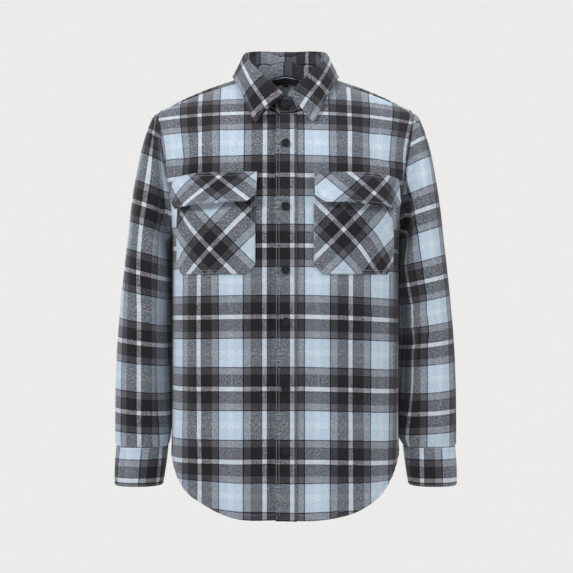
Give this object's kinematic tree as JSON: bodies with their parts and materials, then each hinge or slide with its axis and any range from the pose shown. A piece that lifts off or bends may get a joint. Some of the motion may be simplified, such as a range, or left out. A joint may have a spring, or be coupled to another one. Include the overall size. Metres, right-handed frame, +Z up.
{
  "type": "shirt jacket",
  "caption": "Buttoned flannel overshirt with long sleeves, shirt collar, curved hem and bias-cut chest pockets with flaps, filled out as if worn.",
  "frame": {"origin": "between the shoulders, level with the shoulder line beside the neck, where the wearer holds the shirt up", "axes": "+Z up, -Y towards the front, +X towards the wearer's left"},
  "size_m": [0.5854, 0.2617, 0.8017],
  "materials": {
    "flannel": "brushed plaid flannel in pale blue, charcoal, grey and white",
    "button_black": "matt black moulded plastic",
    "label_black": "bare black woven tape"
  },
  "bodies": {
    "root": {"front_left": "flannel", "front_right": "flannel", "back": "flannel", "yoke": "flannel", "sleeve_left": "flannel", "sleeve_right": "flannel", "cuff_left": "flannel", "cuff_right": "flannel", "front_placket": "flannel", "collar_stand": "flannel", "collar_leaf": "flannel", "pocket_left": "flannel", "pocket_right": "flannel", "pocket_flap_left": "flannel", "pocket_flap_right": "flannel", "slit_placket_left": "flannel", "slit_placket_right": "flannel", "button_front_1": "button_black", "button_front_2": "button_black", "button_front_3": "button_black", "button_front_4": "button_black", "button_front_5": "button_black", "button_front_6": "button_black", "button_collar": "button_black", "button_cuff_left": "button_black", "button_cuff_right": "button_black", "neck_label": "label_black", "neck_tab": "label_black"}
  },
  "joints": []
}
